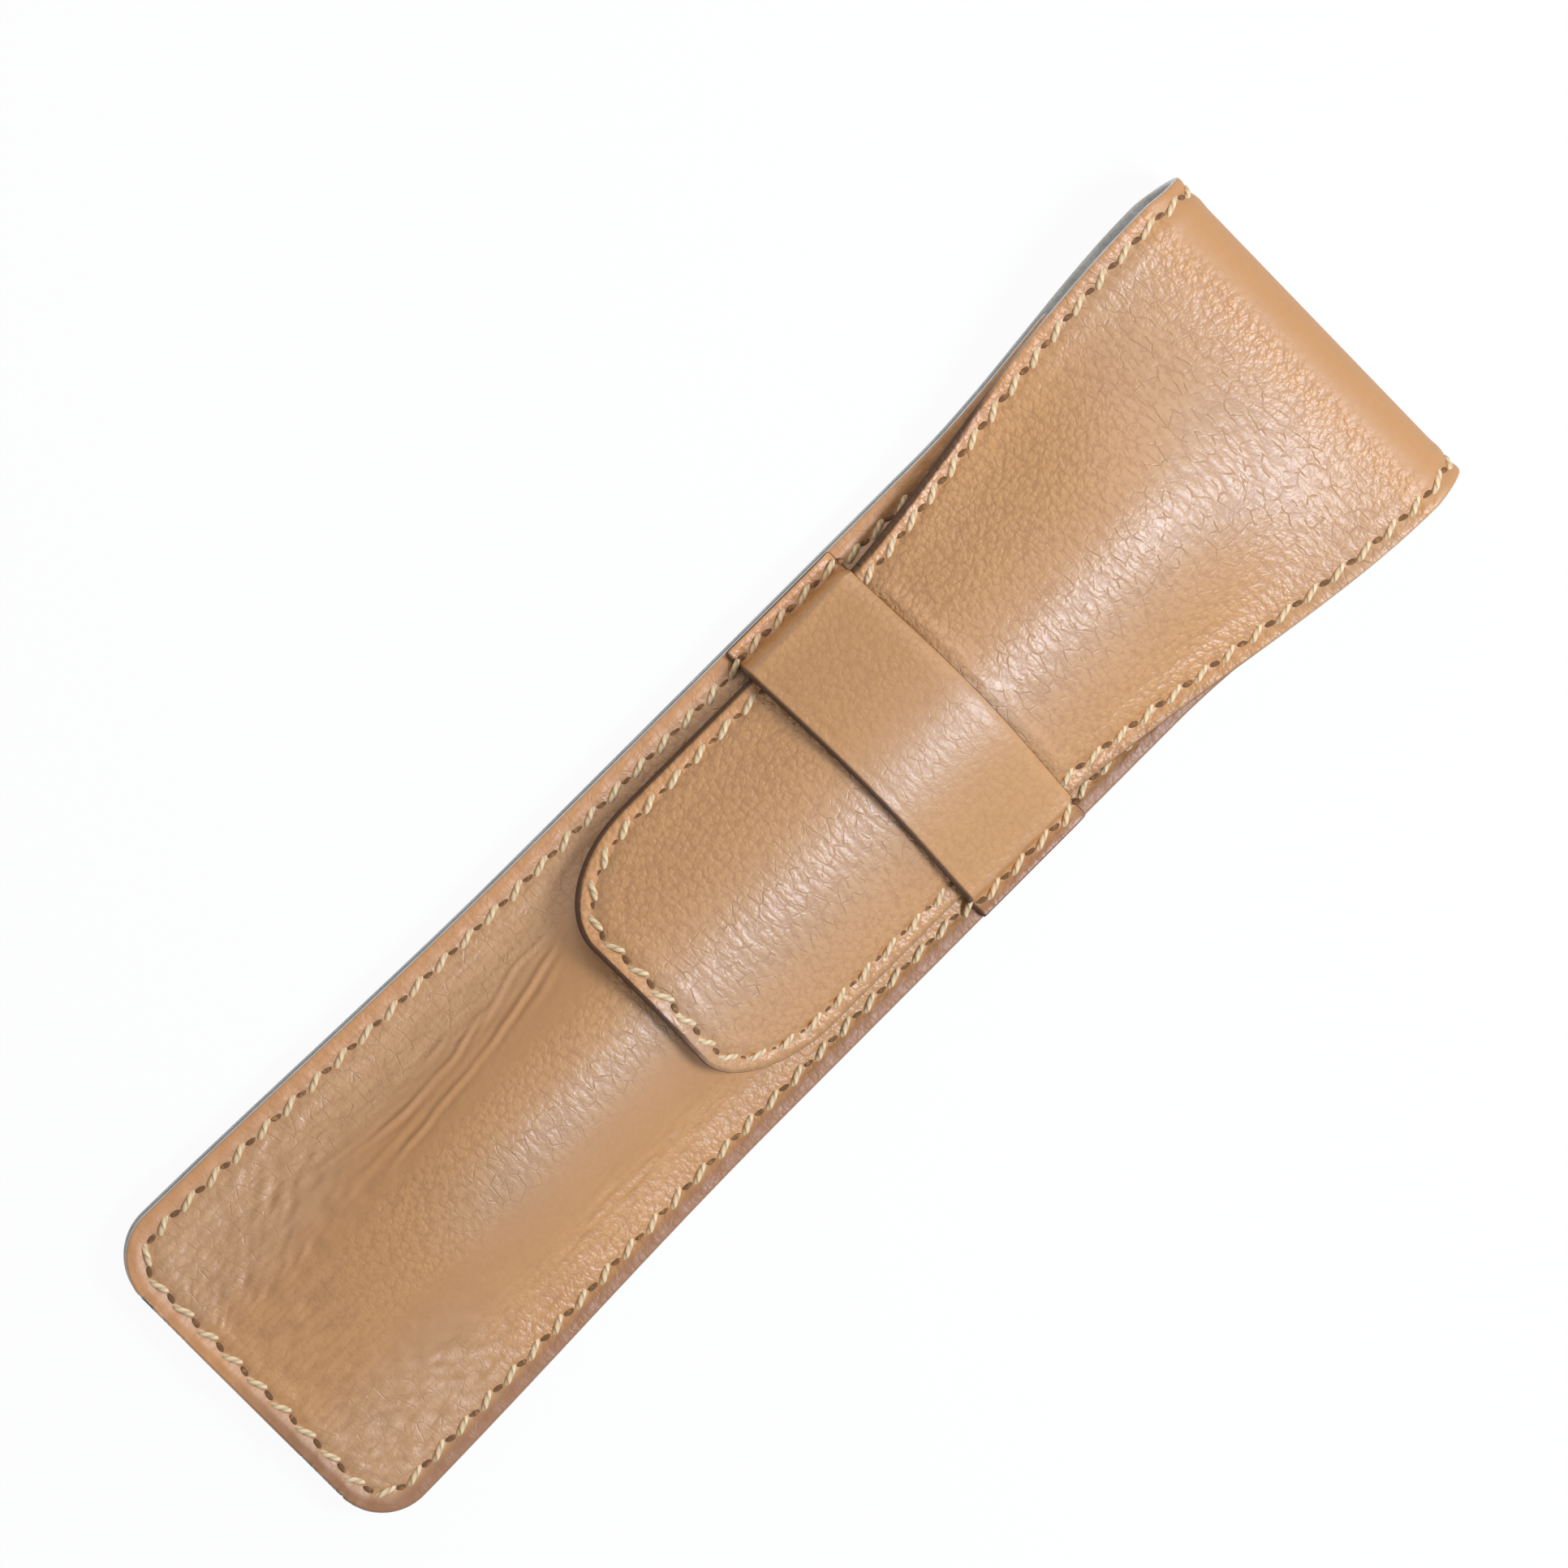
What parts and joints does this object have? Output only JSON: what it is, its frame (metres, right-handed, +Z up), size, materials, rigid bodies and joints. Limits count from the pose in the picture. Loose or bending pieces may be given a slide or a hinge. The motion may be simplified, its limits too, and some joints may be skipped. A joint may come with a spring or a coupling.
{
  "type": "leather pencil case",
  "caption": "Slim stitched leather pen sleeve, lined, with a fold-over flap whose rounded tongue tucks under a cross band",
  "frame": {"origin": "centre of the case's outline on the table that its back lies on", "axes": "+X across the case, +Y along it toward the fold, +Z up from the table through the front"},
  "size_m": [0.0444, 0.16, 0.0168],
  "materials": {
    "tan_leather": "pebbled tan leather, satin",
    "band_leather": "smoother tan leather, satin",
    "grey_lining": "grey-blue suede-like lining, matte",
    "cream_thread": "waxed cream thread, matte"
  },
  "bodies": {
    "case": {"back_leather": "tan_leather", "back_lining": "grey_lining", "front_leather": "tan_leather", "front_lining": "grey_lining", "retaining_band": "band_leather", "case_seam_front_thread": "cream_thread", "case_seam_back_thread": "cream_thread"},
    "fold": {"fold_leather": "tan_leather", "fold_lining": "grey_lining"},
    "flap": {"flap_leather": "tan_leather", "flap_lining": "grey_lining", "flap_seam_left_thread": "cream_thread", "flap_seam_right_thread": "cream_thread"},
    "tongue": {"tongue_leather": "tan_leather", "tongue_lining": "grey_lining", "tongue_seam_thread": "cream_thread"}
  },
  "joints": [
    {"name": "fold_hinge", "type": "hinge", "parent": "case", "child": "fold", "pos_m": [0, 0.07861, 0.00139], "axis": [-1, 0, 0], "range_deg": [0, 84], "deforming": ["fold_leather", "fold_lining"]},
    {"name": "flap_hinge", "type": "hinge", "parent": "fold", "child": "flap", "pos_m": [0, 0.07861, 0.00811], "axis": [-1, 0, 0], "range_deg": [0, 84]},
    {"name": "tongue_bend", "type": "hinge", "parent": "flap", "child": "tongue", "pos_m": [0, 0.0271, 0.00915], "axis": [-1, 0, 0], "range_deg": [0, 10.1], "deforming": ["tongue_leather", "tongue_lining", "tongue_seam_thread"]}
  ],
  "couplings": [
    {"joint": "flap_hinge", "follows": "fold_hinge", "ratio": 1},
    {"joint": "tongue_bend", "follows": "fold_hinge", "ratio": 0.12}
  ]
}
